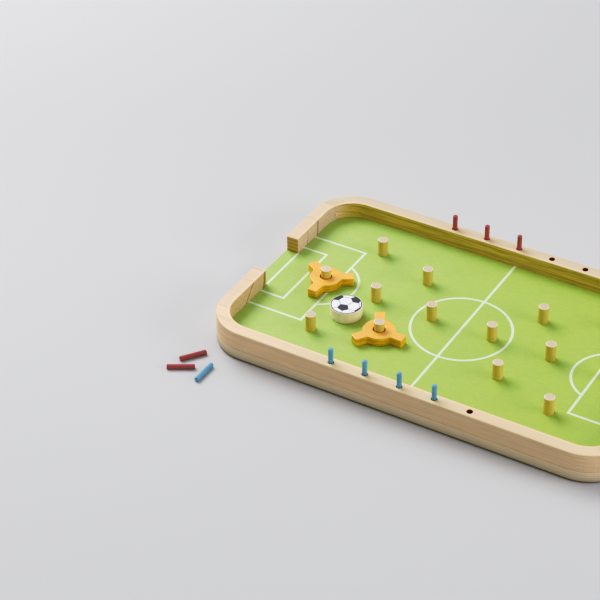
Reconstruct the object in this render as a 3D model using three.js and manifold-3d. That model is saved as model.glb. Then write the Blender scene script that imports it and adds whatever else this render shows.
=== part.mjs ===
// Tabletop football board: a rounded wooden tray with a goal mouth at each end, wooden posts standing
// on a printed pitch, two three-armed spinners turning on posts, a puck, and pegs that keep the score
// in two rows of holes drilled in the long rails.
//
// Millimetres, +Z up, +X along the board. The origin is the middle of the board at the level of the table
// that its pads stand on.

import * as THREE from 'three';
import { mergeVertices } from 'three/addons/utils/BufferGeometryUtils.js';
import Module from 'manifold-3d';

// ---- Driving dimensions -----------------------------------------------------------------------

const boardLength = 485;
const boardWidth = 300;
const cornerRadius = 50;
const baseThickness = 12.5;
const pitchThickness = 2.5;

const railWidth = 15.3;
const railHeight = 22;
const goalWidth = 68.8;
const railJointY = 115; // where an end block meets the rail that carries the rounded corner
const jointGap = 0.2;

const footRadius = 8;
const footThickness = 1.5;
const footChamfer = 0.3;
const footX = 205;
const footY = 112;

const postRadius = 5.8;
const postHeight = 20.6; // above the pitch
const postSocketDepth = 8; // into the base board
const postChamfer = 0.8;
const postHoleClearance = 0.2;
const postPlaces = [
  [170, 0], [106, 0], [36.6, 0], [-36.6, 0], [-106, 0], [-170, 0],
  [142, 81.5], [71, 56.2], [-71, 56.2], [-142, 81.5],
  [142, -81.5], [71, -56.2], [-71, -56.2], [-142, -81.5],
];

const pegRadius = 2.75;
const pegLength = 30.5;
const pegChamfer = 0.4;
const scoreHoleRadius = 3.25;
const scoreHoleDepth = 12.7;
const scoreHolePitch = 40.7;
const scoreHoleCount = 5;
const pegBottomGap = 0.2;

const spinnerThickness = 10;
const spinnerReach = 31.2;
const spinnerArmWidth = 11.6;
const spinnerHubRadius = 17.9;
const spinnerHoleRadius = 6.9;
const spinnerTurn = { spinner_left: 149.4, spinner_centre: 117 }; // degrees, first arm from +X
const spinnerPlace = { spinner_left: [-170, 0], spinner_centre: [-71, -56.2] };

const puckRadius = 18;
const puckHeight = 13.8;
const puckBevel = 0.6;
const puckPlace = [-121.5, -39.2];

const restingGap = 0.15; // between the pitch and the pieces that slide or turn on it

// Each loose peg lies on the table: its middle and its heading in degrees.
const loosePegs = {
  score_peg_red_4: { place: [-238.7, -192.7], heading: 29.8 },
  score_peg_red_5: { place: [-238.0, -169.8], heading: 53.1 },
  score_peg_blue_5: { place: [-211.8, -188.2], heading: 90.2 },
};

// ---- Levels worked out from them --------------------------------------------------------------

const baseTop = footThickness + baseThickness;
const pitchTop = baseTop + pitchThickness;
const railTop = baseTop + railHeight;
const innerRadius = cornerRadius - railWidth;
const cornerX = boardLength / 2 - cornerRadius;
const cornerY = boardWidth / 2 - cornerRadius;
const innerX = boardLength / 2 - railWidth;
const railLineY = boardWidth / 2 - railWidth / 2;
const scoreHoleFloor = railTop - scoreHoleDepth;

const roundSteps = 20;
const pegSteps = 16;
const cornerSteps = 14;

// ---- Materials ----------------------------------------------------------------------------------

function finish(red, green, blue, roughness) {
  const color = new THREE.Color().setRGB(red / 255, green / 255, blue / 255, THREE.SRGBColorSpace);
  return new THREE.MeshStandardMaterial({ color, roughness, metalness: 0 });
}

const looks = {
  baseWood: () => finish(214, 190, 158, 0.62),
  pitchPrint: () => finish(171, 203, 92, 0.7),
  railWood: () => finish(232, 208, 172, 0.58),
  postWood: () => finish(214, 176, 108, 0.6),
  orangePaint: () => finish(246, 172, 66, 0.5),
  puckWood: () => finish(232, 214, 178, 0.55),
  redPaint: () => finish(160, 52, 46, 0.5),
  bluePaint: () => finish(62, 142, 196, 0.5),
  darkPad: () => finish(52, 48, 44, 0.9),
};

// ---- Solid modelling helpers --------------------------------------------------------------------

const wasm = await Module();
wasm.setup();

function toSolid(geometry) {
  const bare = geometry.index ? geometry.toNonIndexed() : geometry.clone();
  bare.deleteAttribute('normal');
  bare.deleteAttribute('uv');
  const merged = mergeVertices(bare, 1e-4);
  return new wasm.Manifold(new wasm.Mesh({
    numProp: 3,
    vertProperties: new Float32Array(merged.attributes.position.array),
    triVerts: new Uint32Array(merged.index.array),
  }));
}

function toGeometry(solid) {
  const mesh = solid.getMesh();
  const geometry = new THREE.BufferGeometry();
  geometry.setAttribute('position', new THREE.BufferAttribute(new Float32Array(mesh.vertProperties), 3));
  geometry.setIndex(new THREE.BufferAttribute(new Uint32Array(mesh.triVerts), 1));
  geometry.computeVertexNormals();
  return geometry;
}

function extrude(shape, bottom, height, curveSegments = cornerSteps) {
  const geometry = new THREE.ExtrudeGeometry(shape, { depth: height, bevelEnabled: false, curveSegments });
  return geometry.translate(0, 0, bottom);
}

// A turned piece about Z with a chamfer on its top edge, and on its bottom edge too when asked.
function turned(radius, bottom, top, chamfer, steps, bothEnds) {
  const foot = bothEnds ? [[0, bottom], [radius - chamfer, bottom], [radius, bottom + chamfer]]
    : [[0, bottom], [radius, bottom]];
  const head = [[radius, top - chamfer], [radius - chamfer, top], [0, top]];
  const profile = [...foot, ...head].map(([r, z]) => new THREE.Vector2(r, z));
  return new THREE.LatheGeometry(profile, steps).rotateX(Math.PI / 2);
}

// Drills blind round holes down from a level into a plate.
function drill(geometry, places, radius, floor, top, steps) {
  let solid = toSolid(geometry);
  for (const [x, y] of places) {
    const cutter = turned(radius, floor, top + 2, 0.5, steps, false).translate(x, y, 0);
    solid = solid.subtract(toSolid(cutter));
  }
  return toGeometry(solid);
}

// ---- Outlines -------------------------------------------------------------------------------------

function boardOutline() {
  const shape = new THREE.Shape();
  shape.absarc(cornerX, cornerY, cornerRadius, 0, Math.PI / 2);
  shape.absarc(-cornerX, cornerY, cornerRadius, Math.PI / 2, Math.PI);
  shape.absarc(-cornerX, -cornerY, cornerRadius, Math.PI, 1.5 * Math.PI);
  shape.absarc(cornerX, -cornerY, cornerRadius, 1.5 * Math.PI, 2 * Math.PI);
  return shape;
}

// The pitch fills the tray and runs out through both goal mouths to the ends of the board.
function pitchOutline() {
  const radius = innerRadius - jointGap;
  const side = innerX - jointGap;
  const mouth = goalWidth / 2 - jointGap;
  const end = boardLength / 2;
  const shape = new THREE.Shape();
  shape.moveTo(end, mouth);
  shape.lineTo(side, mouth);
  shape.absarc(cornerX, cornerY, radius, 0, Math.PI / 2);
  shape.absarc(-cornerX, cornerY, radius, Math.PI / 2, Math.PI);
  shape.lineTo(-side, mouth);
  shape.lineTo(-end, mouth);
  shape.lineTo(-end, -mouth);
  shape.lineTo(-side, -mouth);
  shape.absarc(-cornerX, -cornerY, radius, Math.PI, 1.5 * Math.PI);
  shape.absarc(cornerX, -cornerY, radius, 1.5 * Math.PI, 2 * Math.PI);
  shape.lineTo(side, -mouth);
  shape.lineTo(end, -mouth);
  for (const [x, y] of postPlaces) {
    const hole = new THREE.Path();
    hole.absarc(x, y, postRadius + postHoleClearance, 0, 2 * Math.PI);
    shape.holes.push(hole);
  }
  return shape;
}

// A long rail with both rounded corners, cut off square at the joints with the end blocks.
function railOutline() {
  const rise = railJointY + jointGap / 2 - cornerY;
  const outerStart = Math.asin(rise / cornerRadius);
  const innerStart = Math.asin(rise / innerRadius);
  const shape = new THREE.Shape();
  shape.absarc(cornerX, cornerY, cornerRadius, outerStart, Math.PI / 2);
  shape.absarc(-cornerX, cornerY, cornerRadius, Math.PI / 2, Math.PI - outerStart);
  shape.absarc(-cornerX, cornerY, innerRadius, Math.PI - innerStart, Math.PI / 2, true);
  shape.absarc(cornerX, cornerY, innerRadius, Math.PI / 2, innerStart, true);
  return shape;
}

// An end block reaches from the goal mouth to the joint, and starts to follow the corner.
function endBlockOutline() {
  const rise = railJointY - jointGap / 2 - cornerY;
  const outerEnd = Math.asin(rise / cornerRadius);
  const innerEnd = Math.asin(rise / innerRadius);
  const shape = new THREE.Shape();
  shape.moveTo(boardLength / 2, goalWidth / 2);
  shape.lineTo(boardLength / 2, cornerY);
  shape.absarc(cornerX, cornerY, cornerRadius, 0, outerEnd);
  shape.absarc(cornerX, cornerY, innerRadius, innerEnd, 0, true);
  shape.lineTo(innerX, goalWidth / 2);
  return shape;
}

// Three arms, a third of a turn apart, standing out of a round hub with a round hole.
function spinnerOutline() {
  const half = spinnerArmWidth / 2;
  const root = Math.asin(half / spinnerHubRadius);
  const shape = new THREE.Shape();
  for (let arm = 0; arm < 3; arm += 1) {
    const angle = arm * 2 * Math.PI / 3;
    const along = new THREE.Vector2(Math.cos(angle), Math.sin(angle));
    const across = new THREE.Vector2(-along.y, along.x);
    for (const side of [-half, half]) {
      const tip = along.clone().multiplyScalar(spinnerReach).addScaledVector(across, side);
      if (arm === 0 && side < 0) shape.moveTo(tip.x, tip.y);
      else shape.lineTo(tip.x, tip.y);
    }
    shape.absarc(0, 0, spinnerHubRadius, angle + root, angle + 2 * Math.PI / 3 - root);
  }
  const hole = new THREE.Path();
  hole.absarc(0, 0, spinnerHoleRadius, 0, 2 * Math.PI);
  shape.holes.push(hole);
  return shape;
}

// ---- The object ---------------------------------------------------------------------------------

const group = new THREE.Group();

function add(name, geometry, material, x = 0, y = 0, z = 0) {
  const mesh = new THREE.Mesh(geometry, material);
  mesh.name = name;
  mesh.position.set(x, y, z);
  group.add(mesh);
  return mesh;
}

function addBase() {
  const plate = extrude(boardOutline(), footThickness, baseThickness);
  const floor = baseTop - postSocketDepth - postHoleClearance;
  const radius = postRadius + postHoleClearance;
  add('base_board', drill(plate, postPlaces, radius, floor, baseTop, roundSteps), looks.baseWood());
  add('pitch_panel', extrude(pitchOutline(), baseTop, pitchThickness, 10), looks.pitchPrint());
  const padSides = {
    centre: [0, 0], back_right: [1, 1], back_left: [-1, 1], front_left: [-1, -1], front_right: [1, -1],
  };
  for (const [name, [sideX, sideY]] of Object.entries(padSides)) {
    const pad = turned(footRadius, 0, footThickness, footChamfer, roundSteps, false);
    add(`foot_pad_${name}`, pad, looks.darkPad(), sideX * footX, sideY * footY);
  }
}

function addFrame() {
  const holePlaces = [];
  for (let hole = 0; hole < scoreHoleCount; hole += 1) {
    holePlaces.push([(hole - (scoreHoleCount - 1) / 2) * scoreHolePitch, railLineY]);
  }
  for (const [name, turn] of [['rail_back', 0], ['rail_front', Math.PI]]) {
    const rail = extrude(railOutline(), baseTop, railHeight);
    const drilled = drill(rail, holePlaces, scoreHoleRadius, scoreHoleFloor, railTop, pegSteps);
    add(name, drilled.rotateZ(turn), looks.railWood());
  }
  const blocks = { right_back: [1, 1], left_back: [-1, 1], left_front: [-1, -1], right_front: [1, -1] };
  for (const [name, [sideX, sideY]] of Object.entries(blocks)) {
    const solid = toSolid(extrude(endBlockOutline(), baseTop, railHeight));
    const normals = [[sideX < 0, [1, 0, 0]], [sideY < 0, [0, 1, 0]]];
    const placed = normals.reduce((part, [flip, normal]) => (flip ? part.mirror(normal) : part), solid);
    add(`end_block_${name}`, toGeometry(placed), looks.railWood());
  }
}

function addPosts() {
  const bottom = baseTop - postSocketDepth;
  postPlaces.forEach(([x, y], index) => {
    const post = turned(postRadius, bottom, pitchTop + postHeight, postChamfer, roundSteps, false);
    add(`post_${String(index + 1).padStart(2, '0')}`, post, looks.postWood(), x, y);
  });
}

function addSpinners() {
  for (const [name, [x, y]] of Object.entries(spinnerPlace)) {
    const spinner = extrude(spinnerOutline(), 0, spinnerThickness, 10);
    spinner.rotateZ(THREE.MathUtils.degToRad(spinnerTurn[name]));
    add(name, spinner, looks.orangePaint(), x, y, pitchTop + restingGap);
  }
}

function addPuck() {
  const puck = turned(puckRadius, 0, puckHeight, puckBevel, 40, true);
  add('puck', puck, looks.puckWood(), puckPlace[0], puckPlace[1], pitchTop + restingGap);
}

function addScorePegs() {
  const peg = () => turned(pegRadius, -pegLength / 2, pegLength / 2, pegChamfer, pegSteps, true);
  const middle = scoreHoleFloor + pegBottomGap + pegLength / 2;
  const firstHole = -(scoreHoleCount - 1) / 2 * scoreHolePitch;
  for (let index = 0; index < 3; index += 1) {
    const x = firstHole + index * scoreHolePitch;
    add(`score_peg_red_${index + 1}`, peg(), looks.redPaint(), x, railLineY, middle);
  }
  for (let index = 0; index < 4; index += 1) {
    const x = firstHole + index * scoreHolePitch;
    add(`score_peg_blue_${index + 1}`, peg(), looks.bluePaint(), x, -railLineY, middle);
  }
  for (const [name, { place, heading }] of Object.entries(loosePegs)) {
    const lying = peg().rotateY(Math.PI / 2).rotateZ(THREE.MathUtils.degToRad(heading));
    const look = name.includes('red') ? looks.redPaint() : looks.bluePaint();
    add(name, lying, look, place[0], place[1], pegRadius);
  }
}

addBase();
addFrame();
addPosts();
addSpinners();
addPuck();
addScorePegs();

export default group;
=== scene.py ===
"""Looks of the tabletop football board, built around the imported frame.

Everything is in metres, in the frame of the CAD model: +X along the board, +Z up, and the table
that the pads stand on at z = 0.
"""

import math

import bmesh
import bpy
from mathutils import Matrix, Vector
from mathutils.geometry import tessellate_polygon


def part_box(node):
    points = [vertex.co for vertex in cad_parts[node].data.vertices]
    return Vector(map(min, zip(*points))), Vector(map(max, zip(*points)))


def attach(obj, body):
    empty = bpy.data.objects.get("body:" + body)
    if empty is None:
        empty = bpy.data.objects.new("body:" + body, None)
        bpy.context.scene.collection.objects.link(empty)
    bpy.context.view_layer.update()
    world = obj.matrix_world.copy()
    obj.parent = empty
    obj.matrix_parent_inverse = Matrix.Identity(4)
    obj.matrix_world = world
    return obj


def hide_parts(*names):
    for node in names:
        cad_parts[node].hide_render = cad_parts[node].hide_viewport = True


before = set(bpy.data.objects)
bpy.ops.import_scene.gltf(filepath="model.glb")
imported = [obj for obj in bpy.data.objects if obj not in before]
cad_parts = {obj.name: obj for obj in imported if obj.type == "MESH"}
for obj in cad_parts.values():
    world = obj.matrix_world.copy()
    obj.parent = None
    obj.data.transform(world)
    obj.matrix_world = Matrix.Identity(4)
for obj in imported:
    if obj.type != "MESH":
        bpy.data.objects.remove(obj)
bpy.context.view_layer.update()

MM = 0.001

# ---- Sizes, from the frame where it holds them -------------------------------------------------------------

CAD_GAP = 0.2 * MM              # the CAD pieces keep this gap where they meet
SEAM = 0.07 * MM                # half of the hairline left between glued pieces

BOARD_LOW, BOARD_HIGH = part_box("base_board")
PITCH_LOW, PITCH_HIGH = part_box("pitch_panel")
RAIL_LOW, RAIL_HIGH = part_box("rail_back")
BLOCK_LOW, BLOCK_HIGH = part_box("end_block_right_back")

CORNER_RADIUS = 50 * MM
HALF_LENGTH, HALF_WIDTH = BOARD_HIGH.x, BOARD_HIGH.y
RAIL_WIDTH = HALF_WIDTH - PITCH_HIGH.y - CAD_GAP
INNER_RADIUS = CORNER_RADIUS - RAIL_WIDTH
CORNER_X, CORNER_Y = HALF_LENGTH - CORNER_RADIUS, HALF_WIDTH - CORNER_RADIUS
INNER_X, INNER_Y = HALF_LENGTH - RAIL_WIDTH, HALF_WIDTH - RAIL_WIDTH
GOAL_HALF = BLOCK_LOW.y
JOINT_Y = (RAIL_LOW.y + BLOCK_HIGH.y) / 2
PITCH_TOP = PITCH_HIGH.z
RAIL_TOP = RAIL_HIGH.z
EDGE = 1.05 * MM                # rounding of the rails and blocks
PITCH_EDGE, PITCH_HOLE_EDGE = 0.15 * MM, 0.1 * MM
SOCKET_EDGE = 0.25 * MM
JOINT_EDGE = 0.05               # share of EDGE by which the ends are rounded where a rail meets a block
BASE_EDGE = 0.6 * MM
NOSE = 1.3 * MM                 # rounding of the upright edges of the goal mouths
INNER_RIM_HIGHLIGHT = 3.4 * MM            # width of the strip of painted highlight along the inner top edge of the frame

SOCKET_RADIUS = 3.25 * MM
SOCKET_DEPTH = 12.7 * MM
SOCKET_STEP = 40.7 * MM
SOCKETS_PER_RAIL = 5
SOCKET_Y = HALF_WIDTH - RAIL_WIDTH / 2

SPINNER_HEADINGS = {"spinner_left": 149.4, "spinner_centre": 117.0}
SPINNER_POSTS = {"spinner_left": "post_06", "spinner_centre": "post_13"}
LOOSE_PEG_HEADINGS = {"score_peg_red_4": 29.8, "score_peg_red_5": 53.1, "score_peg_blue_5": 90.2}

POSTS = [f"post_{index:02d}" for index in range(1, 15)]
PEGS = [f"score_peg_{colour}_{index}" for colour in ("red", "blue") for index in range(1, 6)]
BLOCKS = {"right_back": (1, 1), "left_back": (-1, 1), "left_front": (-1, -1), "right_front": (1, -1)}
PADS = ["foot_pad_" + place for place in ("centre", "back_right", "back_left", "front_left", "front_right")]


# ---- Outlines in plan --------------------------------------------------------------------------------------

FILLET_STEPS = 6
PARALLEL = 1e-3                 # sine of the angle below which two edges count as one straight line


def arc(centre, radius, start, end, steps):
    """Points of an arc, both ends included. Angles are in degrees, and the arc may run either way."""
    points = []
    for step in range(steps + 1):
        angle = math.radians(start + (end - start) * step / steps)
        points.append(Vector((centre[0] + radius * math.cos(angle), centre[1] + radius * math.sin(angle))))
    return points


def circle(centre, radius, steps, clockwise=False):
    """A closed round loop. Holes run clockwise, so that their material is on the left."""
    turn = -360 if clockwise else 360
    return arc(centre, radius, 0, turn, steps)[:-1]


def rounded(corners):
    """A closed loop through (x, y, fillet radius) corners, each rounded off by its own radius."""
    loop = []
    for index, (x, y, radius) in enumerate(corners):
        here = Vector((x, y))
        back = (Vector(corners[index - 1][:2]) - here).normalized()
        ahead = (Vector(corners[(index + 1) % len(corners)][:2]) - here).normalized()
        if radius == 0:
            loop.append(here)
            continue
        half = back.angle(ahead) / 2
        centre = here + (back + ahead).normalized() * radius / math.sin(half)
        first = here + back * radius / math.tan(half) - centre
        sweep = first.angle_signed(here + ahead * radius / math.tan(half) - centre)
        for step in range(FILLET_STEPS + 1):
            loop.append(centre + first @ Matrix.Rotation(sweep * step / FILLET_STEPS, 2))
    return loop


def inset(loop, distance, share):
    """The loop moved to its left by distance. share scales the move of each edge."""
    moved = []
    count = len(loop)
    for index, point in enumerate(loop):
        along = (point - loop[index - 1]).normalized(), (loop[(index + 1) % count] - point).normalized()
        normals = [Vector((-way.y, way.x)) for way in along]
        reach = distance * share[index - 1], distance * share[index]
        cross = normals[0].cross(normals[1])
        if abs(cross) < PARALLEL:
            moved.append(point + (normals[0] + normals[1]).normalized() * (reach[0] + reach[1]) / 2)
            continue
        x = (reach[0] * normals[1].y - reach[1] * normals[0].y) / cross
        y = (reach[1] * normals[0].x - reach[0] * normals[1].x) / cross
        moved.append(point + Vector((x, y)))
    return moved


def mirrored(loop, side_x, side_y):
    """The loop on another quarter of the board, still anticlockwise."""
    flipped = [Vector((point.x * side_x, point.y * side_y)) for point in loop]
    return flipped if side_x * side_y > 0 else flipped[::-1]


# ---- Meshes ------------------------------------------------------------------------------------------------

BORED = 1                       # the material slot of the inside of a blind hole
SMOOTH_UP_TO = 35               # degrees between faces that are still shaded as one surface
FLAT_PULL = 80                  # how strongly large faces hold the shading at their edges, up to 100
EDGE_STEPS = 5                  # steps of the rounding round a flat piece
ROD_EDGE_STEPS = 4


def piece(name, mesh, materials, node, body):
    """Turns a bmesh into a named piece that rides on its body, and stands for a CAD node if there is one.

    materials is one material, or a tuple of the outside's and that of the inside of blind holes.
    """
    bmesh.ops.recalc_face_normals(mesh, faces=mesh.faces)
    data = bpy.data.meshes.new(name)
    mesh.to_mesh(data)
    mesh.free()
    data.shade_smooth()
    data.set_sharp_from_angle(angle=math.radians(SMOOTH_UP_TO))
    made = bpy.data.objects.new(name, data)
    bpy.context.scene.collection.objects.link(made)
    for material in materials if isinstance(materials, tuple) else (materials,):
        data.materials.append(material)
    flat = made.modifiers.new("flat_faces_stay_flat", "WEIGHTED_NORMAL")
    flat.mode = "FACE_AREA"
    flat.weight = FLAT_PULL
    flat.keep_sharp = True
    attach(made, body)
    if node:
        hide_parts(node)


def ring(mesh, loop, level):
    """The corners of a level loop."""
    return [mesh.verts.new((point.x, point.y, level)) for point in loop]


def skin(mesh, rings):
    """Joins rings of the same length, each to the next."""
    for lower, upper in zip(rings, rings[1:]):
        for index in range(len(lower)):
            after = (index + 1) % len(lower)
            mesh.faces.new((lower[index], lower[after], upper[after], upper[index]))


def cap(mesh, rings, upward):
    """Fills the first ring, leaving the others open, with triangles that all face the same way."""
    corners = [vertex for loop in rings for vertex in loop]
    for triangle in tessellate_polygon([[vertex.co for vertex in loop] for loop in rings]):
        a, b, c = (corners[index] for index in triangle)
        up = (b.co - a.co).cross(c.co - a.co).z > 0
        mesh.faces.new((a, b, c) if up == upward else (a, c, b))


def rounding(edge, steps):
    """A quarter round from an end face to the side, as (distance from the side, distance from the face)."""
    if not edge:
        return [(0, 0)]
    turns = [math.pi / 2 * step / steps for step in range(steps + 1)]
    return [(edge * (1 - math.sin(turn)), edge * (1 - math.cos(turn))) for turn in turns]


def wall(mesh, loop, bottom, top, low_edge, high_edge, share=None):
    """The side of a flat piece, with a quarter round at each end. Returns its first and last ring."""
    share = share or [1] * len(loop)
    low = [(offset, bottom + rise) for offset, rise in rounding(low_edge, EDGE_STEPS)]
    high = [(offset, top - drop) for offset, drop in rounding(high_edge, EDGE_STEPS)]
    rings = [ring(mesh, inset(loop, offset, share), level) for offset, level in low + high[::-1]]
    skin(mesh, rings)
    return rings[0], rings[-1]


def flat_piece(outline, bottom, top, edge, share=None, holes=(), sockets=(), mouth=0):
    """A flat piece with rounded edges. Holes go through it, and sockets are (loop, floor) from above.

    mouth is the rounding at the ends of both. The inside of a socket takes the piece's second material.
    """
    mesh = bmesh.new()
    low, high = wall(mesh, outline, bottom, top, edge, edge, share)
    low_rings, high_rings = [low], [high]
    for loop in holes:
        low, high = wall(mesh, loop, bottom, top, mouth, mouth)
        low_rings.append(low)
        high_rings.append(high)
    outside = len(mesh.faces)
    for loop, floor in sockets:
        low, high = wall(mesh, loop, floor, top, 0, mouth)
        mesh.faces.new(low[::-1])
        high_rings.append(high)
    mesh.faces.ensure_lookup_table()
    for face in mesh.faces[outside:]:
        face.material_index = BORED
    cap(mesh, low_rings, upward=False)
    cap(mesh, high_rings, upward=True)
    return mesh


def turned_piece(profile, steps):
    """A piece turned about Z. profile runs from the bottom centre to the top centre as (radius, level)."""
    mesh = bmesh.new()
    foot = mesh.verts.new((0, 0, profile[0][1]))
    head = mesh.verts.new((0, 0, profile[-1][1]))
    rings = [ring(mesh, circle((0, 0), radius, steps), level) for radius, level in profile[1:-1]]
    skin(mesh, rings)
    for index in range(steps):
        after = (index + 1) % steps
        mesh.faces.new((foot, rings[0][after], rings[0][index]))
        mesh.faces.new((head, rings[-1][index], rings[-1][after]))
    return mesh


def rod_profile(radius, bottom, top, low_edge, high_edge):
    """A round rod whose two ends are rounded off."""
    low = [(radius - offset, bottom + rise) for offset, rise in rounding(low_edge, ROD_EDGE_STEPS)]
    high = [(radius - offset, top - drop) for offset, drop in rounding(high_edge, ROD_EDGE_STEPS)]
    return [(0, bottom), *low, *high[::-1], (0, top)]


# ---- Materials ---------------------------------------------------------------------------------------------

RING_DRIFT = 0.5                # how far a ring line wanders, as a share of the gap between rings
RING_DARKENS, RING_ENDS = 0.62, 0.96        # where in its gap a ring starts to darken and is darkest
CLOUD_ALONG, FIBRE_ALONG = 0.12, 0.03       # how much clouds and fibres are drawn out along the grain
OUTSIDE_LINES = 0.3             # how much of the dark lines shows on faces that look out of the frame
INNER_STREAKS = 2.4             # how much stronger streaks get on upright faces inside the frame
LINE_WANDER = 3 * MM            # how far a single line wanders
MOUTH_RING_GAP = 5.2 * MM       # growth rings on the faces of the goal mouths
MOUTH_RING_DEPTH = 0.35
INNER_RIM_HIGHLIGHT_DEPTH = 0.5           # how much of the edges' highlight colour the strip of painted highlight takes on
PAINTED_LIGHT_RANGE = (-0.21, 0.14)      # where along X the painted light on a print, lighter and bluer towards -X, begins and ends to change
PLIES = 9
TABLE_SHADE = (-0.52, 0.85)      # the direction in plan in which painted shade makes the table top a little darker
TABLE_SHADE_END = 0.55           # how far from the board's middle the painted shade stops getting darker


class Finish:
    """A node material under construction."""

    def __init__(self, name, **surface):
        self.material = bpy.data.materials.new(name)
        self.material.use_nodes = True
        self.tree = self.material.node_tree
        self.surface = self.tree.nodes["Principled BSDF"]
        self.place = self.node("TexCoord", output="Object")
        for socket, value in surface.items():
            self.surface.inputs[socket.replace("_", " ")].default_value = value

    def node(self, kind, inputs=None, output=0, **settings):
        made = self.tree.nodes.new("ShaderNode" + kind)
        for name, value in settings.items():
            setattr(made, name, value)
        for name, value in (inputs or {}).items():
            self.feed(made.inputs[name], value)
        return made.outputs[output]

    def feed(self, socket, value):
        if isinstance(value, bpy.types.NodeSocket):
            self.tree.links.new(value, socket)
        else:
            socket.default_value = value

    def math(self, operation, first, second=0.0):
        return self.node("Math", {0: first, 1: second}, operation=operation)

    def plus(self, first, second):
        return self.math("ADD", first, second)

    def minus(self, first, second):
        return self.math("SUBTRACT", first, second)

    def times(self, first, second):
        return self.math("MULTIPLY", first, second)

    def remap(self, value, low, high, to_low=0.0, to_high=1.0):
        """value carried smoothly from the range low to high into another range, and held at its ends."""
        inputs = {0: value, 1: low, 2: high, 3: to_low, 4: to_high}
        return self.node("MapRange", inputs, interpolation_type="SMOOTHSTEP")

    def mix(self, factor, first, second):
        return self.node("Mix", {0: factor, 6: first, 7: second}, output=2, data_type="RGBA")

    def scaled(self, colour, factor):
        return self.node("VectorMath", {0: colour, "Scale": factor}, operation="SCALE")

    def axes(self, source=None):
        """The three parts of a vector, of the place in the board's frame if none is given."""
        split = self.tree.nodes.new("ShaderNodeSeparateXYZ")
        self.feed(split.inputs[0], source or self.place)
        return split.outputs[0], split.outputs[1], split.outputs[2]

    def noise(self, scale, detail=2.0, roughness=0.5, vector=None, stretch=(1, 1, 1)):
        """Noise between 0 and 1. scale is in cycles per metre, stretch scales each axis of it."""
        scaled = self.node("Mapping", {"Vector": vector or self.place, "Scale": stretch})
        inputs = {"Vector": scaled, "Scale": scale, "Detail": detail, "Roughness": roughness}
        return self.node("TexNoise", inputs)

    def edges(self):
        """1 on rounded edges, 0 on level and upright faces."""
        normal = self.node("NewGeometry", output="Normal")
        level = self.math("ABSOLUTE", self.axes(normal)[2])
        rise = self.remap(level, 0.12, 0.5)
        fall = self.remap(level, 0.88, 0.995, 1.0, 0.0)
        return self.times(rise, fall)

    def upward(self):
        """1 on level faces, 0 on upright ones."""
        normal = self.node("NewGeometry", output="Normal")
        return self.remap(self.axes(normal)[2], 0.3, 0.95)

    def across(self):
        """1 on faces that look along Y, 0 on those that look along X."""
        normal = self.node("NewGeometry", output="Normal")
        return self.remap(self.math("ABSOLUTE", self.axes(normal)[1]), 0.35, 0.95)

    def bump(self, height, strength, distance):
        inputs = {"Height": height, "Strength": strength, "Distance": distance}
        self.feed(self.surface.inputs["Normal"], self.node("Bump", inputs, output="Normal"))

    def colour(self, value):
        self.feed(self.surface.inputs["Base Color"], value)

    def roughness(self, value):
        self.feed(self.surface.inputs["Roughness"], value)


def tone(red, green, blue):
    """A colour given by its sRGB values from 0 to 255, as linear RGBA."""
    def linear(value):
        value /= 255
        return value / 12.92 if value <= 0.04045 else ((value + 0.055) / 1.055) ** 2.4
    return linear(red), linear(green), linear(blue), 1.0


def inside_frame(finish):
    """1 on what looks towards the middle of the board, goal mouths included, 0 on what looks away."""
    facing = finish.axes(finish.node("NewGeometry", output="Normal"))
    place = finish.axes()
    along, across = (finish.times(facing[axis], place[axis]) for axis in (0, 1))
    return finish.math("LESS_THAN", finish.plus(along, across), 0.0)


def inner_rim_highlight(finish):
    """1 along the inner top edge of the frame, where a highlight is painted, 0 away from it."""
    x, y, _ = (finish.math("ABSOLUTE", axis) for axis in finish.axes())
    x = finish.minus(x, CORNER_X)
    y = finish.minus(y, CORNER_Y)
    bent = finish.node("CombineXYZ", {0: finish.math("MAXIMUM", x, 0.0), 1: finish.math("MAXIMUM", y, 0.0)})
    round_part = finish.node("VectorMath", {0: bent}, output="Value", operation="LENGTH")
    straight_part = finish.math("MINIMUM", finish.math("MAXIMUM", x, y), 0.0)
    beyond = finish.minus(finish.plus(round_part, straight_part), INNER_RADIUS)
    return finish.remap(beyond, INNER_RIM_HIGHLIGHT / 2, INNER_RIM_HIGHLIGHT, 1.0, 0.0)


def dark_lines(finish, lines):
    """Single dark growth lines through the wood: (y at the top, lean, half width, strength) of each."""
    _, y, z = finish.axes()
    below = finish.minus(z, RAIL_TOP)
    wander = finish.times(finish.minus(finish.noise(90, 2.0), 0.5), LINE_WANDER)
    total = 0.0
    for start, lean, half, strength in lines:
        off = finish.minus(finish.plus(y, wander), start)
        off = finish.minus(off, finish.times(below, lean))
        shown = finish.remap(finish.math("ABSOLUTE", off), 0.25 * half, half, strength, 0.0)
        total = finish.math("MAXIMUM", shown, total)
    return total


def growth_rings(finish, across, depth, ring_gap, ring_way, drift):
    """Rings in a straight pile: each one darkens slowly and ends sharply."""
    size = math.hypot(*ring_way)
    outward = finish.plus(finish.times(across, ring_way[0] / size), finish.times(depth, ring_way[1] / size))
    phase = finish.math("FRACT", finish.math("DIVIDE", finish.plus(outward, drift), ring_gap))
    return finish.times(finish.remap(phase, RING_DARKENS, RING_ENDS),
                        finish.remap(phase, RING_ENDS, 1.0, 1.0, 0.0))


def mouth_rings(finish, height, drift):
    """Level rings that show where the grain ends, on the faces of the goal mouths."""
    rows = finish.math("FRACT", finish.math("DIVIDE", finish.plus(height, drift), MOUTH_RING_GAP))
    return finish.times(finish.remap(rows, 0.3, 0.9, 0.0, MOUTH_RING_DEPTH), finish.across())


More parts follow.
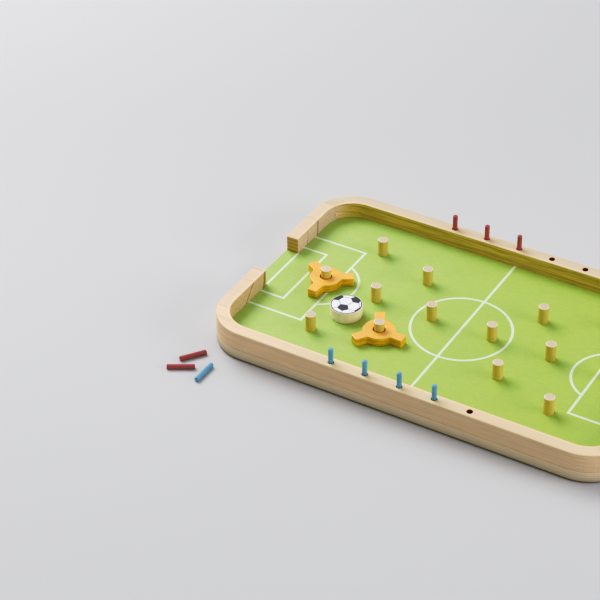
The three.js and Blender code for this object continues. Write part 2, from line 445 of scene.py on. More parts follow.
def wood(name, face, side, late, grain="X", ring_gap=9 * MM, ring_way=(0.3, 1.0), ring_depth=(0.1, 0.3),
         lines=(), inner=None, streaks=(0.035, 0.06), edge=((250, 236, 214), 0.3, 0.3)):
    """Solid wood. face is its colour on level faces, side on upright ones, late that of the ring lines.
    face and side differ partly by grain and partly by painted light and shade.

    ring_way is the direction across the rings; ring_depth and streaks say how strong rings and fibres
    are on level and on upright faces. lines takes the place of the rings, as in dark_lines. inner gives
    the colours of the upright faces inside the frame that look along X and along Y, painted shade and
    green bounce from the pitch, and edge the colour of a painted highlight on rounded edges and its
    strength outside and inside.
    """
    finish = Finish(name, Specular_IOR_Level=0.35)
    axes = dict(zip("XYZ", finish.axes()))
    height = axes["Z"]
    along = axes.pop(grain)
    across, depth = axes.values()
    slow = finish.node("CombineXYZ", {0: finish.times(along, CLOUD_ALONG), 1: across, 2: depth})
    pulled = finish.node("CombineXYZ", {0: finish.times(along, FIBRE_ALONG), 1: across, 2: depth})
    level, inside = finish.upward(), inside_frame(finish)

    drift = finish.times(finish.noise(34, 2.0, vector=slow), RING_DRIFT * ring_gap)
    outside_depth = 1.0
    if lines:
        rings = finish.math("MAXIMUM", dark_lines(finish, lines), mouth_rings(finish, height, drift))
        outside_depth = OUTSIDE_LINES
    else:
        rings = growth_rings(finish, across, depth, ring_gap, ring_way, drift)
    upright_depth = finish.times(finish.remap(inside, 0.0, 1.0, outside_depth, 1.0), ring_depth[1])
    rings = finish.times(rings, finish.remap(level, 0.0, 1.0, upright_depth, ring_depth[0]))

    fibres = finish.noise(1100, 3.0, 0.6, vector=pulled)
    bands = finish.noise(330, 2.0, 0.6, vector=pulled)
    if inner and not lines:
        layers = finish.noise(420, 3.0, 0.6, stretch=(0.05, 0.05, 1))
        bands = finish.remap(level, 0.0, 1.0, layers, bands)
    wave = finish.remap(finish.plus(fibres, bands), 0.65, 1.35, -1.0, 1.0)
    swing = finish.remap(level, 0.0, 1.0, streaks[1], streaks[0])
    cloud = finish.noise(16, 3.0, 0.55, vector=slow)

    # partly painted light and shade: level and upright faces take different colours
    body = finish.mix(level, tone(*side), tone(*face))
    # painted highlight: rounded edges turn pale, faintly outside the frame and strongly inside it
    highlight_tone, outer_highlight, inner_highlight = edge
    pale = finish.times(finish.edges(), finish.remap(inside, 0.0, 1.0, outer_highlight, inner_highlight))
    # painted shade and green bounce: upright faces inside the frame take the inner colours
    if inner:
        upright = finish.times(inside, finish.minus(1.0, level))
        body = finish.mix(upright, body, finish.mix(finish.across(), tone(*inner[0]), tone(*inner[1])))
        swing = finish.times(swing, finish.plus(finish.times(upright, INNER_STREAKS), 1.0))
        # painted highlight along the inner top edge of the frame
        rim = finish.times(finish.times(inner_rim_highlight(finish), level), INNER_RIM_HIGHLIGHT_DEPTH)
        pale = finish.math("MAXIMUM", pale, rim)
    body = finish.mix(rings, body, tone(*late))
    body = finish.scaled(body, finish.remap(cloud, 0.3, 0.7, 1.03, 0.95))
    body = finish.scaled(body, finish.plus(finish.times(wave, swing), 1.0))
    finish.colour(finish.mix(pale, body, tone(*highlight_tone)))
    finish.roughness(finish.remap(fibres, 0.2, 0.8, 0.5, 0.64))
    finish.bump(fibres, 0.25, 0.08 * MM)
    return finish.material


def plywood(name):
    """Plies of alternate grain, with painted shade darker towards the table and darkest where the board
    nearly meets it.
    """
    ply = (BOARD_HIGH.z - BOARD_LOW.z) / PLIES
    finish = Finish(name, Specular_IOR_Level=0.3)
    height = finish.minus(finish.axes()[2], BOARD_LOW.z)
    sway = finish.noise(30, 2.0, stretch=(1, 1, 0.2))
    level = finish.plus(finish.math("DIVIDE", height, 2 * ply), finish.times(finish.minus(sway, 0.5), 0.12))
    phase = finish.math("FRACT", level)
    crosswise = finish.times(finish.remap(phase, 0.44, 0.56), finish.remap(phase, 0.92, 1.0, 1.0, 0.0))
    long_fibres = finish.noise(800, 3.0, 0.6, stretch=(0.03, 0.03, 1))
    end_fibres = finish.noise(2600, 2.0, 0.6)
    body = finish.mix(crosswise, tone(233, 219, 195), tone(226, 213, 187))
    speckle = finish.mix(crosswise, long_fibres, end_fibres)
    body = finish.scaled(body, finish.remap(speckle, 0.3, 0.7, 0.95, 1.03))
    body = finish.mix(finish.remap(height, 7 * MM, 12 * MM, 0.0, 0.7), body, tone(242, 222, 190))
    # painted shade: darker towards the table, and a dark line along the lowest millimetre
    body = finish.scaled(body, finish.remap(height, 1 * MM, 8 * MM, 0.85, 1.0))
    body = finish.mix(finish.remap(height, 0.5 * MM, 1.3 * MM, 1.0, 0.0), body, tone(168, 156, 146))
    finish.colour(body)
    finish.roughness(finish.remap(long_fibres, 0.2, 0.8, 0.55, 0.7))
    finish.bump(speckle, 0.25, 0.08 * MM)
    return finish.material


def printed(name, base, shade, grain_depth, far=None):
    """Flat print on wood: the grain below still shows a little. far is its colour past the middle:
    base to far is painted light, lighter and bluer towards -X where the window's light and sheen fall.
    """
    finish = Finish(name, Specular_IOR_Level=0.4)
    grain = finish.noise(900, 3.0, 0.6, stretch=(0.12, 1, 1))
    grit = finish.noise(1500, 2.0)
    cloud = finish.noise(26, 3.0, 0.55)
    start = tone(*base)
    if far:
        # painted light: the print lighter and bluer towards -X
        start = finish.mix(finish.remap(finish.axes()[0], *PAINTED_LIGHT_RANGE), start, tone(*far))
    body = finish.mix(finish.remap(cloud, 0.3, 0.7, 0.0, 0.35), start, tone(*shade))
    body = finish.scaled(body, finish.remap(grain, 0.25, 0.75, 1 - grain_depth, 1 + grain_depth))
    body = finish.scaled(body, finish.remap(grit, 0.25, 0.75, 1 - grain_depth, 1 + grain_depth))
    finish.colour(body)
    finish.roughness(finish.remap(grain, 0.2, 0.8, 0.46, 0.58))
    finish.bump(grit, 0.15, 0.04 * MM)
    return finish.material


def painted(name, face, side, worn, layers=0.0, rough=0.42, gloss=0.4):
    """Thin paint on wood with rubbed edges. layers is how much plies below show on upright faces.
    face and side are one paint on level and on upright faces; they differ by painted light and shade.
    """
    finish = Finish(name, Specular_IOR_Level=gloss)
    grain = finish.noise(900, 3.0, 0.6, stretch=(0.1, 1, 1))
    cloud = finish.noise(70, 2.0)
    level = finish.upward()
    # painted light and shade: level and upright faces take different copies of the paint
    body = finish.mix(level, tone(*side), tone(*face))
    body = finish.scaled(body, finish.remap(cloud, 0.3, 0.7, 1.03, 0.93))
    body = finish.scaled(body, finish.remap(grain, 0.25, 0.75, 0.96, 1.04))
    if layers:
        sheets = finish.noise(420, 2.0, 0.6, stretch=(0.1, 0.1, 1))
        upright = finish.minus(1.0, level)
        streak = finish.times(finish.remap(sheets, 0.45, 0.62), finish.times(upright, layers))
        body = finish.scaled(body, finish.minus(1.0, streak))
    finish.colour(finish.mix(finish.times(finish.edges(), 0.35), body, tone(*worn)))
    finish.roughness(finish.remap(cloud, 0.2, 0.8, rough - 0.05, rough + 0.1))
    finish.bump(grain, 0.2, 0.05 * MM)
    return finish.material


def rubber(name):
    finish = Finish(name, Specular_IOR_Level=0.3)
    speckle = finish.noise(1800, 2.0)
    finish.colour(finish.mix(speckle, tone(34, 31, 29), tone(58, 54, 50)))
    finish.roughness(finish.remap(speckle, 0.2, 0.8, 0.75, 0.95))
    finish.bump(speckle, 0.3, 0.1 * MM)
    return finish.material


def table_surface(name):
    finish = Finish(name, Specular_IOR_Level=0.2)
    x, y, _ = finish.axes()
    away = finish.plus(finish.times(x, TABLE_SHADE[0]), finish.times(y, TABLE_SHADE[1]))
    cloud = finish.noise(1.5, 3.0)
    near = finish.mix(cloud, tone(214, 214, 216), tone(219, 219, 221))
    # painted shade: the table top darker beyond the board, towards -X and +Y
    finish.colour(finish.mix(finish.remap(away, 0.0, TABLE_SHADE_END), near, tone(209, 209, 210)))
    finish.roughness(finish.remap(cloud, 0.2, 0.8, 0.75, 0.85))
    return finish.material


# ---- Tray --------------------------------------------------------------------------------------------------

def board_outline():
    """The rounded rectangle of the board."""
    loop = []
    for side_x, side_y, start in ((1, 1, 0), (-1, 1, 90), (-1, -1, 180), (1, -1, 270)):
        loop += arc((CORNER_X * side_x, CORNER_Y * side_y), CORNER_RADIUS, start, start + 90, 24)
    return loop


def pitch_outline():
    """The floor of the tray with its two tongues in the goal mouths."""
    mouth = GOAL_HALF - SEAM
    quarter = [Vector((HALF_LENGTH, mouth)), Vector((INNER_X - SEAM, mouth))]
    quarter += arc((CORNER_X, CORNER_Y), INNER_RADIUS - SEAM, 0, 90, 20)
    return [point for sides in BLOCKS.values() for point in mirrored(quarter, *sides)]


def post_holes(margin):
    """A round loop about every post, margin wider than the post."""
    loops = []
    for name in POSTS:
        low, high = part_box(name)
        middle, radius = (low + high) / 2, (high.x - low.x) / 2
        loops.append(circle(middle, radius + margin, 32, clockwise=True))
    return loops


def make_base(materials):
    """The plywood base with a blind hole for every post."""
    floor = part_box(POSTS[0])[0].z
    sockets = [(loop, floor - SEAM) for loop in post_holes(SEAM)]
    mesh = flat_piece(board_outline(), BOARD_LOW.z, BOARD_HIGH.z, BASE_EDGE, sockets=sockets, mouth=0)
    piece("plywood_base", mesh, materials, "base_board", "board")


def make_pitch(material):
    """The printed sheet between the rails, with a hole for every post."""
    mesh = flat_piece(pitch_outline(), PITCH_LOW.z, PITCH_TOP, PITCH_EDGE, holes=post_holes(SEAM),
                      mouth=PITCH_HOLE_EDGE)
    piece("printed_pitch", mesh, material, "pitch_panel", "board")


def joint_angles(y):
    """Where a cut across the corner at y meets its outer and its inner arc, in degrees."""
    return [math.degrees(math.asin((y - CORNER_Y) / radius)) for radius in (CORNER_RADIUS, INNER_RADIUS)]


def make_rail(name, side, materials):
    """A long rail with half of each corner and the score sockets. side is 1 at the back, -1 in front."""
    outer, inner = joint_angles(JOINT_Y + SEAM)
    loop = arc((CORNER_X, CORNER_Y), CORNER_RADIUS, outer, 90, 22)
    loop += arc((-CORNER_X, CORNER_Y), CORNER_RADIUS, 90, 180 - outer, 22)
    turn = len(loop)
    loop += arc((-CORNER_X, CORNER_Y), INNER_RADIUS, 180 - inner, 90, 20)
    loop += arc((CORNER_X, CORNER_Y), INNER_RADIUS, 90, inner, 20)
    share = [1.0] * len(loop)
    share[turn - 1] = share[-1] = JOINT_EDGE
    sockets = []
    for index in range(SOCKETS_PER_RAIL):
        x = (index - (SOCKETS_PER_RAIL - 1) / 2) * SOCKET_STEP
        sockets.append((circle((x, SOCKET_Y), SOCKET_RADIUS, 32, clockwise=True), RAIL_TOP - SOCKET_DEPTH))
    mesh = flat_piece(loop, BOARD_HIGH.z, RAIL_TOP, EDGE, share, sockets=sockets, mouth=SOCKET_EDGE)
    if side < 0:
        mesh.transform(Matrix.Rotation(math.pi, 4, "Z"))
    piece(f"long_{name}", mesh, materials, name, "board")


def make_end_block(place, sides, material):
    """The frame from a goal mouth to its joint with the rail. sides are the signs of its x and y."""
    outer, inner = joint_angles(JOINT_Y - SEAM)
    goal_end = rounded([(INNER_X, GOAL_HALF, NOSE), (HALF_LENGTH, GOAL_HALF, NOSE),
                        (HALF_LENGTH, CORNER_Y, 0), (INNER_X, CORNER_Y, 0)])[:-2]
    loop = goal_end + arc((CORNER_X, CORNER_Y), CORNER_RADIUS, 0, outer, 8)
    turn = len(loop)
    loop += arc((CORNER_X, CORNER_Y), INNER_RADIUS, inner, 0, 8)
    share = [1.0] * len(loop)
    share[turn - 1] = JOINT_EDGE
    mesh = flat_piece(loop, BOARD_HIGH.z, RAIL_TOP, EDGE, share)
    mesh.transform(Matrix.Diagonal((*sides, 1, 1)))
    piece(f"goal_block_{place}", mesh, material, f"end_block_{place}", "board")


# ---- Pitch markings ----------------------------------------------------------------------------------------

def ribbon(mesh, path, width, level, closed=False, height=0.06 * MM):
    """A raised flat line along a path."""
    count = len(path)
    left, right = [], []
    for index, point in enumerate(path):
        before = path[index - 1] if closed or index else None
        after = path[(index + 1) % count] if closed or index < count - 1 else None
        ways = [(point - before).normalized()] if before is not None else []
        ways += [(after - point).normalized()] if after is not None else []
        way = sum(ways, Vector((0, 0))).normalized()
        stretch = 1 / max(0.5, way.dot(ways[0]))
        side = Vector((-way.y, way.x)) * width / 2 * stretch
        left.append(point + side)
        right.append(point - side)
    rings = [ring(mesh, loop, z) for loop, z in
             ((left, level), (left, level + height), (right, level + height), (right, level))]
    steps = count if closed else count - 1
    for index in range(steps):
        after = (index + 1) % count
        for side in range(4):
            other = (side + 1) % 4
            mesh.faces.new((rings[side][index], rings[other][index], rings[other][after], rings[side][after]))
    if not closed:
        for end in (0, -1):
            mesh.faces.new([loop[end] for loop in rings])


LINE_WIDTH = 2.95 * MM
PENALTY_DEPTH, PENALTY_HALF = 67.2 * MM, 72.8 * MM
GOAL_AREA_DEPTH, GOAL_AREA_HALF = 30.0 * MM, 48.0 * MM
CENTRE_CIRCLE_RADIUS = 55.8 * MM
PENALTY_ARC_RADIUS, PENALTY_ARC_BACK = 43.4 * MM, 17.5 * MM
LINE_LIFT = 0.01 * MM           # the lines' undersides lie this much above the pitch
CROSSING = 0.02 * MM            # where two lines cross, one lies this much higher


def make_markings(material):
    """Halfway line, centre circle, and at each end the goal line, goal area, penalty area and its arc."""
    mesh = bmesh.new()
    level = PITCH_TOP + LINE_LIFT
    ribbon(mesh, [Vector((0, -INNER_Y)), Vector((0, INNER_Y))], LINE_WIDTH, level)
    ribbon(mesh, circle((0, 0), CENTRE_CIRCLE_RADIUS, 96), LINE_WIDTH, level + CROSSING, closed=True)
    for side in (1, -1):
        wall_x = INNER_X * side
        ribbon(mesh, [Vector((wall_x, -GOAL_HALF)), Vector((wall_x, GOAL_HALF))], LINE_WIDTH, level)
        for depth, half in ((PENALTY_DEPTH, PENALTY_HALF), (GOAL_AREA_DEPTH, GOAL_AREA_HALF)):
            front = wall_x - depth * side
            box = [(wall_x, half), (front, half), (front, -half), (wall_x, -half)]
            ribbon(mesh, [Vector(corner) for corner in box], LINE_WIDTH, level)
        centre = wall_x - (PENALTY_DEPTH - PENALTY_ARC_BACK) * side
        spread = math.degrees(math.acos(PENALTY_ARC_BACK / PENALTY_ARC_RADIUS))
        facing = 180 if side > 0 else 0
        bow = arc((centre, 0), PENALTY_ARC_RADIUS, facing - spread, facing + spread, 32)
        ribbon(mesh, bow, LINE_WIDTH, level + CROSSING)
    piece("pitch_markings", mesh, material, None, "board")


# ---- Posts, pegs and pads ----------------------------------------------------------------------------------

POST_EDGES = (0.3 * MM, 1.2 * MM)       # rounding at the lower and at the upper end
PEG_EDGES = (0.4 * MM, 1.1 * MM)
PAD_EDGES = (0.2 * MM, 0.1 * MM)
PEG_STEPS = 32


def make_rod(name, node, material, edges, body="board", steps=40):
    """An upright round piece in the place of a CAD node."""
    low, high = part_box(node)
    middle = (low + high) / 2
    mesh = turned_piece(rod_profile((high.x - low.x) / 2, low.z, high.z, *edges), steps)
    mesh.transform(Matrix.Translation((middle.x, middle.y, 0)))
    piece(name, mesh, material, node, body)


def make_lying_peg(name, node, heading, material):
    """A score peg that lies on the table, as long and thick as the standing ones."""
    standing_low, standing_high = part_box("score_peg_red_1")
    radius, length = (standing_high.x - standing_low.x) / 2, standing_high.z - standing_low.z
    low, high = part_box(node)
    mesh = turned_piece(rod_profile(radius, -length / 2, length / 2, *PEG_EDGES), PEG_STEPS)
    turn = Matrix.Rotation(math.radians(heading), 4, "Z") @ Matrix.Rotation(math.pi / 2, 4, "Y")
    mesh.transform(Matrix.Translation((low + high) / 2) @ turn)
    piece(name, mesh, material, node, node)


# ---- Spinners ----------------------------------------------------------------------------------------------

SPINNER_REACH = 31.2 * MM
SPINNER_ARM_HALF = 5.8 * MM
SPINNER_HUB = 17.9 * MM
SPINNER_HOLE = 6.9 * MM
SPINNER_FILLET = 4.0 * MM
SPINNER_TIP = 1.5 * MM          # rounding of the corners at the end of an arm, in plan
SPINNER_EDGE, SPINNER_HOLE_EDGE = 0.7 * MM, 0.6 * MM


def spinner_outline():
    """Three arms out of a round hub, with a hollow fillet on each side of every arm."""
    swing = SPINNER_ARM_HALF + SPINNER_FILLET
    far = SPINNER_HUB + SPINNER_FILLET
    root = math.sqrt(far ** 2 - swing ** 2)
    lean = math.degrees(math.atan2(swing, root))
    one_arm = arc((root, -swing), SPINNER_FILLET, 180 - lean, 90, 6)
    one_arm += arc((SPINNER_REACH - SPINNER_TIP, -SPINNER_ARM_HALF + SPINNER_TIP), SPINNER_TIP, -90, 0, 5)
    one_arm += arc((SPINNER_REACH - SPINNER_TIP, SPINNER_ARM_HALF - SPINNER_TIP), SPINNER_TIP, 0, 90, 5)
    one_arm += arc((root, swing), SPINNER_FILLET, 270, 180 + lean, 6)
    one_arm += arc((0, 0), SPINNER_HUB, lean, 120 - lean, 14)[1:-1]
    loop = []
    for arm in range(3):
        turn = Matrix.Rotation(math.radians(-120 * arm), 2)
        loop += [point @ turn for point in one_arm]
    return loop


def make_spinner(node, material):
    """A spinner about the axis of its post, turned to its heading."""
    low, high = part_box(node)
    post_low, post_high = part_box(SPINNER_POSTS[node])
    middle = (post_low + post_high) / 2
    hole = circle((0, 0), SPINNER_HOLE, 40, clockwise=True)
    mesh = flat_piece(spinner_outline(), low.z, high.z, SPINNER_EDGE, holes=[hole],
                      mouth=SPINNER_HOLE_EDGE)
    turn = Matrix.Rotation(math.radians(SPINNER_HEADINGS[node]), 4, "Z")
    mesh.transform(Matrix.Translation((middle.x, middle.y, 0)) @ turn)
    piece(f"orange_{node}", mesh, material, node, node)


# ---- Puck --------------------------------------------------------------------------------------------------

PUCK_EDGES = (0.6 * MM, 0.5 * MM)
PUCK_STEPS = 72
PRINT_MARGIN = 0.9 * MM         # bare wood round the print
PRINT_ROOM = 0.12 * MM          # the print stands within this height at the top of the puck
WHITE_HEIGHT = 0.04 * MM        # top of the white round over the wood, and the level of what lies on it
RIM_WIDTH = 1.0 * MM
RIM_INSET = 0.3 * MM            # how far the middle of the printed rim is inside the edge of the print
SEAM_WIDTH = 0.35 * MM
BALL_SPREAD = 1.17              # the printed ball's radius over the face's: the face crops it
BALL_TURN = (89.1, -21.5, 31.7)         # degrees about Z, Y and X: how the printed ball is turned
GREAT_ARC_STEPS = 8


def ball_patches():
    """Corners of the twelve five-sided patches of a football, as unit vectors."""
    golden = (1 + math.sqrt(5)) / 2
    middles = []
    for a in (1, -1):
        for b in (golden, -golden):
            middles += [Vector((0, a, b)).normalized(), Vector((a, b, 0)).normalized(),
                        Vector((b, 0, a)).normalized()]
    turn_z, turn_y, turn_x = (math.radians(angle) for angle in BALL_TURN)
    turn = Matrix.Rotation(turn_z, 3, "Z") @ Matrix.Rotation(turn_y, 3, "Y") @ Matrix.Rotation(turn_x, 3, "X")
    middles = [turn @ middle for middle in middles]
    patches = []
    for middle in middles:
        near = sorted(middles, key=lambda other: -other.dot(middle))[1:6]
        across = (near[0] - middle * near[0].dot(middle)).normalized()
        beside = middle.cross(across)
        near.sort(key=lambda other: math.atan2(other.dot(beside), other.dot(across)))
        patches.append((middle, [(middle * 2 + other).normalized() for other in near]))
    return patches


def great_arc(first, last):
    """Points on the ball on the shortest way between two of its points, both included."""
    shares = [step / GREAT_ARC_STEPS for step in range(GREAT_ARC_STEPS + 1)]
    return [(first * (1 - share) + last * share).normalized() for share in shares]


def visible_part(points):
    """The part of a closed loop on the ball that is on its upper half, closed along the rim."""
    kept = []
    for index, point in enumerate(points):
        after = points[(index + 1) % len(points)]
        if point.z >= 0:
            kept.append(point)
        if (point.z >= 0) != (after.z >= 0):
            share = point.z / (point.z - after.z)
            kept.append((point * (1 - share) + after * share).normalized())
    return kept


def cropped(points, scale, limit):
    """Points of the ball laid flat, those beyond the limit brought in to it."""
    flat = [Vector((point.x, point.y)) * scale for point in points]
    return [point * min(1, limit / point.length) if point.length else point for point in flat]


def nearest_corner(corner, centre, patches):
    """The corner of another patch that lies nearest to a corner of this one."""
    others = [other for spot, group in patches if spot is not centre for other in group]
    return max(others, key=lambda other: other.dot(corner))


def print_ball(limit, level):
    """The black patches and the seams of the printed ball, cropped to a round of radius limit."""
    black, seams = bmesh.new(), bmesh.new()
    patches = ball_patches()
    ball = limit * BALL_SPREAD
    for centre, five in patches:
        outline = [point for index in range(5) for point in great_arc(five[index - 1], five[index])[:-1]]
        shown = visible_part(outline)
        if any(point.xy.length * ball < limit for point in shown):
            low_ring, high_ring = wall(black, cropped(shown, ball, limit), level + 0.01 * MM,
                                       level + 0.04 * MM, 0, 0)
            cap(black, [low_ring], upward=False)
            cap(black, [high_ring], upward=True)
        for corner in five:
            line = [point for point in great_arc(corner, nearest_corner(corner, centre, patches))
                    if point.z > 0 and point.xy.length * ball < limit]
            if len(line) > 1 and centre.dot(corner) > 0:
                ribbon(seams, [Vector((point.x, point.y)) * ball for point in line], SEAM_WIDTH, level,
                       height=0.02 * MM)
    return black, seams


def make_puck(wood_side, white, black, seam):
    """The turned puck, and on it the printed face: a white round, five-sided patches, seams and a rim."""
    low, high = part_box("puck")
    middle = (low + high) / 2
    radius = (high.x - low.x) / 2
    face = radius - PRINT_MARGIN
    top = high.z - PRINT_ROOM
    level = top + WHITE_HEIGHT
    body = turned_piece(rod_profile(radius, low.z, top, *PUCK_EDGES), PUCK_STEPS)
    white_round = flat_piece(circle((0, 0), face, PUCK_STEPS), top - 0.02 * MM, level, 0)
    rim = bmesh.new()
    ribbon(rim, circle((0, 0), face - RIM_INSET, PUCK_STEPS), RIM_WIDTH, level, closed=True,
           height=0.03 * MM)
    patches, seams = print_ball(face - RIM_INSET, level)
    made = (("puck_body", body, wood_side, "puck"), ("puck_print_white", white_round, white, None),
            ("puck_print_rim", rim, black, None), ("puck_print_patches", patches, black, None),
            ("puck_print_seams", seams, seam, None))
    for name, mesh, material, node in made:
        mesh.transform(Matrix.Translation((middle.x, middle.y, 0)))
        piece(name, mesh, material, node, "puck")


# ---- Camera, table and light -------------------------------------------------------------------------------

CAMERA_TARGET = Vector((-0.1793, -0.0418, PITCH_TOP))
CAMERA_AZIMUTH, CAMERA_ELEVATION, CAMERA_ROLL = 31.4, 36.49, -1.0
CAMERA_DISTANCE = 2.176
CAMERA_LENS = 117.5
TABLE_HALF = 8.0                # half of the side of the table top

WINDOW = {"place": (-2.25, 0.76, 2.2), "aim": (-0.1, 0, 0), "size": (2.3, 1.7), "power": 67.5,
          "colour": (1.0, 0.99, 0.975)}
FILL = {"place": (2.6, 0.3, 1.0), "aim": (0, 0, 0), "size": (1.7, 1.1), "power": 22, "colour": (1, 1, 1)}
ROOM_COLOUR = (0.955, 0.97, 1.0, 1)
ROOM_LIGHT = (0.43, 0.56)       # strength of the room's light from the front (-Y) and from the back (+Y)

SHADOW_CONTRAST = 1.55          # slope of the print in its dark half, in logarithmic odds
DEEP_BLUE = (0.55, 0.14)        # share of the blue that dark tones lose, and the level where it comes back
TONE_LEVELS = (0.05, 0.1, 0.15, 0.2, 0.3, 0.4, 0.5, 0.75)
BLUE_LEVELS = (0.02, 0.05, 0.08, 0.11, 0.15, 0.2, 0.26, 0.35, 0.5)


def make_camera():
    """The camera looks at CAMERA_TARGET. An azimuth of 0 is from the front, from -Y."""
    azimuth, elevation = math.radians(CAMERA_AZIMUTH), math.radians(CAMERA_ELEVATION)
    back = Vector((math.sin(azimuth) * math.cos(elevation), -math.cos(azimuth) * math.cos(elevation),
                   math.sin(elevation)))
    data = bpy.data.cameras.new("camera")
    data.lens = CAMERA_LENS
    data.sensor_width = 36
    data.clip_start, data.clip_end = 0.05, 50
    camera = bpy.data.objects.new("camera", data)
    bpy.context.scene.collection.objects.link(camera)
    roll = Matrix.Rotation(math.radians(CAMERA_ROLL), 4, "Z")
    facing = (-back).to_track_quat("-Z", "Y").to_matrix().to_4x4()
    camera.matrix_world = Matrix.Translation(CAMERA_TARGET + back * CAMERA_DISTANCE) @ facing @ roll
    bpy.context.scene.camera = camera


def make_table(material):
    """The table top: part of the stage, not of the object."""
    mesh = bmesh.new()
    bmesh.ops.create_grid(mesh, x_segments=1, y_segments=1, size=TABLE_HALF)
    data = bpy.data.meshes.new("table")
    mesh.to_mesh(data)
    mesh.free()
    table = bpy.data.objects.new("table", data)
    bpy.context.scene.collection.objects.link(table)
    data.materials.append(material)


def softbox(name, place, aim, size, power, colour):
    """A square lamp at place that shines towards aim. power is in watts."""
    data = bpy.data.lights.new(name, "AREA")
    data.shape = "RECTANGLE"
    data.size, data.size_y = size
    data.energy = power
    data.color = colour
    light = bpy.data.objects.new(name, data)
    bpy.context.scene.collection.objects.link(light)
    light.location = place
    light.rotation_mode = "QUATERNION"
    light.rotation_quaternion = (Vector(aim) - Vector(place)).to_track_quat("-Z", "Y")


def printed_tone(level):
    """Deepens tones below the middle, as a contrasty studio print does, and leaves the light ones."""
    if level >= 0.5:
        return level
    odds = (level / (1 - level)) ** SHADOW_CONTRAST
    return odds / (1 + odds)


def printed_blue(level):
    """Blue is lost in dark tones, so shadows on coloured surfaces are deep in colour."""
    share, until = DEEP_BLUE
    return level * (1 - share * math.exp(-(level / until) ** 2))


def make_room():
    """An even room whose light grows from the front towards the back."""
    world = bpy.data.worlds.new("studio")
    bpy.context.scene.world = world
    world.use_nodes = True
    tree = world.node_tree
    background = tree.nodes["Background"]
    background.inputs["Color"].default_value = ROOM_COLOUR
    direction = tree.nodes.new("ShaderNodeTexCoord").outputs["Generated"]
    split = tree.nodes.new("ShaderNodeSeparateXYZ")
    tree.links.new(direction, split.inputs[0])
    ramp = tree.nodes.new("ShaderNodeMapRange")
    for socket, value in zip(ramp.inputs[1:5], (-1.0, 1.0, *ROOM_LIGHT)):
        socket.default_value = value
    tree.links.new(split.outputs["Y"], ramp.inputs[0])
    tree.links.new(ramp.outputs[0], background.inputs["Strength"])


def set_print_tones():
    """The tone curves of the picture."""
    view = bpy.context.scene.view_settings
    view.view_transform = "Standard"
    view.look = "None"
    view.exposure = 0
    view.gamma = 1
    view.use_curve_mapping = True
    _, _, blue, combined = view.curve_mapping.curves
    for level in TONE_LEVELS:
        combined.points.new(level, printed_tone(level))
    for level in BLUE_LEVELS:
        blue.points.new(level, printed_blue(level))
    view.curve_mapping.update()


# ---- The object --------------------------------------------------------------------------------------------

# painted highlight on rounded edges, faint outside the frame and strong inside it
EDGE_HIGHLIGHT = ((255, 230, 198), 0.15, 0.75)
RAIL_LOOKS = {              # level faces (the back one darker: painted shade), ring lines, ring depths, upright faces inside along X and along Y (painted shade and green bounce)
    "rail_back": ((225, 206, 181), (170, 128, 84), (0.08, 0.35), ((236, 210, 188), (224, 200, 138))),
    "rail_front": ((240, 218, 187), (200, 168, 128), (0.15, 0.12), ((232, 206, 180), (232, 208, 180))),
}
RAIL_WOOD = {}
for node, (face, late, rings, inner) in RAIL_LOOKS.items():
    RAIL_WOOD[node] = wood(f"wood_of_{node}", face, (237, 214, 182), late, ring_depth=rings, inner=inner,
                           streaks=(0.03, 0.06), edge=EDGE_HIGHLIGHT)
BLOCK_LINES = {             # y at the top in mm, lean, half width in mm, strength
    "left_back": ((57, 0.1, 0.9, 0.5), (80, 0.1, 1.4, 1.0)),
    "left_front": ((-61, 0.87, 1.3, 0.9), (-37.5, 0.15, 2.6, 0.9)),
    "right_back": ((49, -0.2, 1.2, 0.8), (72, -0.4, 1.0, 0.6)),
    "right_front": ((-54, 0.3, 1.0, 0.7), (-83, 0.3, 1.3, 0.9)),
}
BLOCK_WOOD = {}
for place, block_lines in BLOCK_LINES.items():
    # painted shade: the front blocks' inner walls are darker than the back ones; (220, 190, 138) is painted
    # shade and green bounce on walls that look along Y
    inner = (232, 208, 192) if "back" in place else (220, 196, 168)
    scaled_lines = [(y * MM, lean, half * MM, strength) for y, lean, half, strength in block_lines]
    BLOCK_WOOD[place] = wood(f"end_block_wood_{place}", (234, 212, 184), (236, 218, 198), (132, 92, 54),
                             lines=scaled_lines, ring_depth=(0.15, 0.75), streaks=(0.03, 0.03),
                             inner=(inner, (220, 190, 138)), edge=EDGE_HIGHLIGHT)
# the yellow of the dowels' sides is partly painted green bounce from the pitch, and their pale top rim is a
# painted highlight
POST_WOOD = wood("post_dowel", (226, 207, 187), (227, 209, 145), (196, 150, 120), grain="Z",
                 ring_gap=2.2 * MM, ring_way=(1.0, 0.4), ring_depth=(0.35, 0.12),
                 edge=((255, 250, 228), 1.0, 1.0))
PUCK_WOOD = wood("puck_side", (250, 246, 232), (248, 242, 226), (236, 226, 190), grain="Z",
                 ring_gap=3 * MM, ring_way=(1.0, 0.4), ring_depth=(0.1, 0.15), streaks=(0.02, 0.03))
BASE_WOOD = plywood("base_plies")
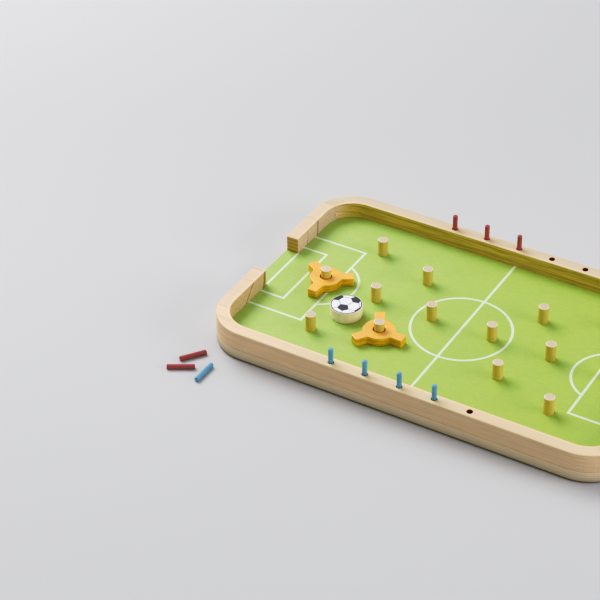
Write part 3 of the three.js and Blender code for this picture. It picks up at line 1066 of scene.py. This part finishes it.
# the pitch is painted lighter and bluer towards -X, where the window's light and sheen fall
GREEN = printed("pitch_green", (186, 210, 143), (178, 203, 130), 0.045, far=(185, 206, 125))
WHITE_LINE = printed("line_white", (228, 240, 217), (219, 234, 207), 0.02)
PRINT_WHITE = printed("puck_white", (244, 244, 248), (236, 236, 242), 0.01)
PRINT_BLACK = printed("puck_black", (94, 94, 107), (88, 88, 99), 0.06)
PRINT_SEAM = printed("puck_seam", (150, 150, 160), (140, 140, 150), 0.02)
# each paint's face and side colours differ by painted light and shade
ORANGE = painted("spinner_orange", (254, 198, 128), (248, 202, 90), (255, 216, 160), layers=0.2,
                 rough=0.22, gloss=0.8)
RED = painted("peg_red", (179, 110, 116), (192, 118, 132), (190, 120, 126))
BLUE = painted("peg_blue", (137, 176, 213), (137, 185, 203), (156, 198, 216))
# the inside of the holes: darker wood, partly end grain and partly painted shade of the recess
SOCKET = wood("socket_end_grain_and_shade", (172, 132, 100), (166, 126, 94), (140, 104, 78), grain="Z", ring_gap=2 * MM)
RUBBER = rubber("pad_rubber")

make_camera()
make_table(table_surface("pale_table"))
make_room()
softbox("window", **WINDOW)
softbox("fill", **FILL)
set_print_tones()

make_base((BASE_WOOD, SOCKET))
make_pitch(GREEN)
make_markings(WHITE_LINE)
make_rail("rail_back", 1, (RAIL_WOOD["rail_back"], SOCKET))
make_rail("rail_front", -1, (RAIL_WOOD["rail_front"], SOCKET))
for place, sides in BLOCKS.items():
    make_end_block(place, sides, BLOCK_WOOD[place])
for index, node in enumerate(POSTS, 1):
    make_rod(f"dowel_{index:02d}", node, POST_WOOD, POST_EDGES)
for node in SPINNER_HEADINGS:
    make_spinner(node, ORANGE)
make_puck(PUCK_WOOD, PRINT_WHITE, PRINT_BLACK, PRINT_SEAM)
for node in PEGS:
    paint, slot = (RED, "red_peg_paint") if "red" in node else (BLUE, "blue_peg_paint")
    name = node.replace("score", "painted")
    if node in LOOSE_PEG_HEADINGS:
        make_lying_peg(name, node, LOOSE_PEG_HEADINGS[node], paint)
    else:
        make_rod(name, node, paint, PEG_EDGES, node, PEG_STEPS)
for node in PADS:
    make_rod(node.replace("foot", "rubber"), node, RUBBER, PAD_EDGES)
